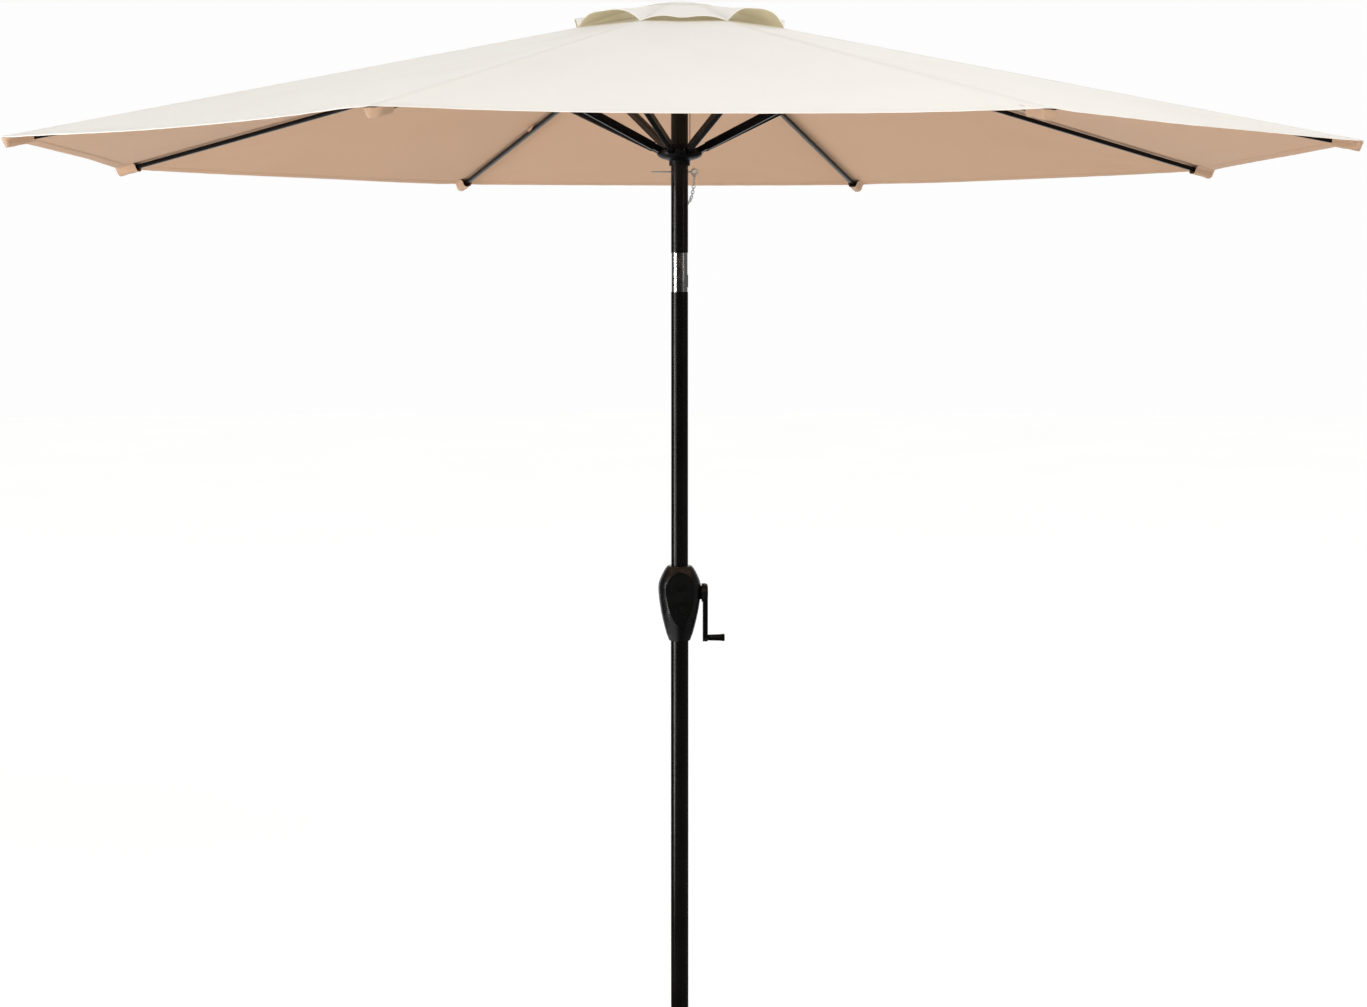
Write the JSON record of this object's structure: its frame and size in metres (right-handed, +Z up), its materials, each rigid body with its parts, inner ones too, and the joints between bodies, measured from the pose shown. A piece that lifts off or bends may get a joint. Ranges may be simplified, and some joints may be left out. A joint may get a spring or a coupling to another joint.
{
  "type": "patio umbrella",
  "caption": "Crank-lift patio umbrella with a round steel pole, tilting head and ribbed octagonal cloth canopy under a vent flap; the foot fits a separate stand.",
  "frame": {"origin": "centre of the pole's foot, on the plane of its cut end", "axes": "+Z up along the pole towards the canopy's crown, +X towards the crank handle, +Y the way the canopy tips"},
  "size_m": [2.6792, 2.6792, 2.4497],
  "materials": {
    "pole_paint": "satin dark bronze powder coat",
    "chrome": "polished",
    "black_plastic": "satin moulded",
    "crank_black": "satin",
    "steel": "plated",
    "nylon": "satin",
    "cord": "braided",
    "rib_paint": "semi-gloss black paint",
    "fitting_plastic": "satin moulded",
    "canopy_cloth": "plain-weave polyester, cream"
  },
  "bodies": {
    "pole": {"pole_lower": "pole_paint", "pole_foot_plug": "black_plastic", "pole_middle": "pole_paint", "crank_housing_front": "black_plastic", "crank_housing_rear": "black_plastic", "housing_screws": "steel", "tilt_sleeve": "chrome", "tilt_pin": "chrome", "lift_cord_lower": "cord"},
    "crank": {"crank_axle": "steel", "cord_drum": "steel", "crank_arm": "crank_black", "grip_pin": "steel"},
    "grip": {"crank_grip": "crank_black"},
    "upper_pole": {"pole_upper": "pole_paint", "tilt_knuckle": "steel", "top_hub": "black_plastic", "hub_cap": "black_plastic", "hub_pins": "steel", "top_pulley": "nylon", "pulley_pin": "steel", "lift_cord_upper": "cord", "lift_cord_drop": "cord"},
    "tilt_button": {"tilt_button": "black_plastic"},
    "runner": {"runner": "black_plastic"},
    "lock_pin": {"lock_pin": "steel", "pin_ring": "steel", "pin_chain": "steel"},
    "rib_1": {"rib_1": "rib_paint", "rib_fittings_1": "fitting_plastic", "canopy_panel_1": "canopy_cloth"},
    "rib_2": {"rib_2": "rib_paint", "rib_fittings_2": "fitting_plastic", "canopy_panel_2": "canopy_cloth"},
    "rib_3": {"rib_3": "rib_paint", "rib_fittings_3": "fitting_plastic", "canopy_panel_3": "canopy_cloth"},
    "rib_4": {"rib_4": "rib_paint", "rib_fittings_4": "fitting_plastic", "canopy_panel_4": "canopy_cloth"},
    "rib_5": {"rib_5": "rib_paint", "rib_fittings_5": "fitting_plastic", "canopy_panel_5": "canopy_cloth"},
    "rib_6": {"rib_6": "rib_paint", "rib_fittings_6": "fitting_plastic", "canopy_panel_6": "canopy_cloth"},
    "rib_7": {"rib_7": "rib_paint", "rib_fittings_7": "fitting_plastic", "canopy_panel_7": "canopy_cloth"},
    "rib_8": {"rib_8": "rib_paint", "rib_fittings_8": "fitting_plastic", "canopy_panel_8": "canopy_cloth"},
    "strut_1": {"strut_1": "rib_paint"},
    "strut_2": {"strut_2": "rib_paint"},
    "strut_3": {"strut_3": "rib_paint"},
    "strut_4": {"strut_4": "rib_paint"},
    "strut_5": {"strut_5": "rib_paint"},
    "strut_6": {"strut_6": "rib_paint"},
    "strut_7": {"strut_7": "rib_paint"},
    "strut_8": {"strut_8": "rib_paint"}
  },
  "joints": [
    {"name": "crank_turn", "type": "hinge", "parent": "pole", "child": "crank", "pos_m": [0, 0, 1.148], "axis": [1, 0, 0], "range_deg": [-2876.94, 1]},
    {"name": "grip_spin", "type": "hinge", "parent": "crank", "child": "grip", "pos_m": [0.08, 0, 1.046], "axis": [1, 0, 0], "continuous": true},
    {"name": "tilt", "type": "hinge", "parent": "pole", "child": "upper_pole", "pos_m": [0, 0, 1.878], "axis": [-1, 0, 0], "range_deg": [0, 30]},
    {"name": "tilt_button_press", "type": "slide", "parent": "pole", "child": "tilt_button", "axis": [-1, 0, 0], "range_m": [0, 0.003], "stiffness_N_per_m": 800, "springref_m": -0.003},
    {"name": "runner_slide", "type": "slide", "parent": "upper_pole", "child": "runner", "axis": [0, 0, 1], "range_m": [-0.55716, 0], "deforming": ["lift_cord_drop", "canopy_panel_1", "canopy_panel_2", "canopy_panel_3", "canopy_panel_4", "canopy_panel_5", "canopy_panel_6", "canopy_panel_7", "canopy_panel_8"]},
    {"name": "lock_pin_pull", "type": "slide", "parent": "upper_pole", "child": "lock_pin", "axis": [1, 0, 0], "range_m": [0, 0.085], "deforming": ["pin_chain"]},
    {"name": "rib_fold_1", "type": "hinge", "parent": "upper_pole", "child": "rib_1", "pos_m": [0.02772, 0.01148, 2.41791], "axis": [-0.3827, 0.9239, 0], "range_deg": [-0.01, 73.63]},
    {"name": "strut_fold_1", "type": "hinge", "parent": "rib_1", "child": "strut_1", "pos_m": [0.39914, 0.16533, 2.30913], "axis": [-0.3827, 0.9239, 0], "range_deg": [-138.72, 0.01]},
    {"name": "rib_fold_2", "type": "hinge", "parent": "upper_pole", "child": "rib_2", "pos_m": [0.01148, 0.02772, 2.41791], "axis": [-0.9239, 0.3827, 0], "range_deg": [-0.01, 73.63]},
    {"name": "strut_fold_2", "type": "hinge", "parent": "rib_2", "child": "strut_2", "pos_m": [0.16533, 0.39914, 2.30913], "axis": [-0.9239, 0.3827, 0], "range_deg": [-138.72, 0.01]},
    {"name": "rib_fold_3", "type": "hinge", "parent": "upper_pole", "child": "rib_3", "pos_m": [-0.01148, 0.02772, 2.41791], "axis": [-0.9239, -0.3827, 0], "range_deg": [-0.01, 73.63]},
    {"name": "strut_fold_3", "type": "hinge", "parent": "rib_3", "child": "strut_3", "pos_m": [-0.16533, 0.39914, 2.30913], "axis": [-0.9239, -0.3827, 0], "range_deg": [-138.72, 0.01]},
    {"name": "rib_fold_4", "type": "hinge", "parent": "upper_pole", "child": "rib_4", "pos_m": [-0.02772, 0.01148, 2.41791], "axis": [-0.3827, -0.9239, 0], "range_deg": [-0.01, 73.63]},
    {"name": "strut_fold_4", "type": "hinge", "parent": "rib_4", "child": "strut_4", "pos_m": [-0.39914, 0.16533, 2.30913], "axis": [-0.3827, -0.9239, 0], "range_deg": [-138.72, 0.01]},
    {"name": "rib_fold_5", "type": "hinge", "parent": "upper_pole", "child": "rib_5", "pos_m": [-0.02772, -0.01148, 2.41791], "axis": [0.3827, -0.9239, 0], "range_deg": [-0.01, 73.63]},
    {"name": "strut_fold_5", "type": "hinge", "parent": "rib_5", "child": "strut_5", "pos_m": [-0.39914, -0.16533, 2.30913], "axis": [0.3827, -0.9239, 0], "range_deg": [-138.72, 0.01]},
    {"name": "rib_fold_6", "type": "hinge", "parent": "upper_pole", "child": "rib_6", "pos_m": [-0.01148, -0.02772, 2.41791], "axis": [0.9239, -0.3827, 0], "range_deg": [-0.01, 73.63]},
    {"name": "strut_fold_6", "type": "hinge", "parent": "rib_6", "child": "strut_6", "pos_m": [-0.16533, -0.39914, 2.30913], "axis": [0.9239, -0.3827, 0], "range_deg": [-138.72, 0.01]},
    {"name": "rib_fold_7", "type": "hinge", "parent": "upper_pole", "child": "rib_7", "pos_m": [0.01148, -0.02772, 2.41791], "axis": [0.9239, 0.3827, 0], "range_deg": [-0.01, 73.63]},
    {"name": "strut_fold_7", "type": "hinge", "parent": "rib_7", "child": "strut_7", "pos_m": [0.16533, -0.39914, 2.30913], "axis": [0.9239, 0.3827, 0], "range_deg": [-138.72, 0.01]},
    {"name": "rib_fold_8", "type": "hinge", "parent": "upper_pole", "child": "rib_8", "pos_m": [0.02772, -0.01148, 2.41791], "axis": [0.3827, 0.9239, 0], "range_deg": [-0.01, 73.63]},
    {"name": "strut_fold_8", "type": "hinge", "parent": "rib_8", "child": "strut_8", "pos_m": [0.39914, -0.16533, 2.30913], "axis": [0.3827, 0.9239, 0], "range_deg": [-138.72, 0.01]}
  ],
  "couplings": [
    {"joint": "crank_turn", "follows": "runner_slide", "rad_per_m": 90.09},
    {"joint": "rib_fold_1", "follows": "runner_slide", "rad_per_m": -2.3059},
    {"joint": "strut_fold_1", "follows": "runner_slide", "rad_per_m": 4.3447},
    {"joint": "rib_fold_2", "follows": "runner_slide", "rad_per_m": -2.3059},
    {"joint": "strut_fold_2", "follows": "runner_slide", "rad_per_m": 4.3447},
    {"joint": "rib_fold_3", "follows": "runner_slide", "rad_per_m": -2.3059},
    {"joint": "strut_fold_3", "follows": "runner_slide", "rad_per_m": 4.3447},
    {"joint": "rib_fold_4", "follows": "runner_slide", "rad_per_m": -2.3059},
    {"joint": "strut_fold_4", "follows": "runner_slide", "rad_per_m": 4.3447},
    {"joint": "rib_fold_5", "follows": "runner_slide", "rad_per_m": -2.3059},
    {"joint": "strut_fold_5", "follows": "runner_slide", "rad_per_m": 4.3447},
    {"joint": "rib_fold_6", "follows": "runner_slide", "rad_per_m": -2.3059},
    {"joint": "strut_fold_6", "follows": "runner_slide", "rad_per_m": 4.3447},
    {"joint": "rib_fold_7", "follows": "runner_slide", "rad_per_m": -2.3059},
    {"joint": "strut_fold_7", "follows": "runner_slide", "rad_per_m": 4.3447},
    {"joint": "rib_fold_8", "follows": "runner_slide", "rad_per_m": -2.3059},
    {"joint": "strut_fold_8", "follows": "runner_slide", "rad_per_m": 4.3447}
  ]
}
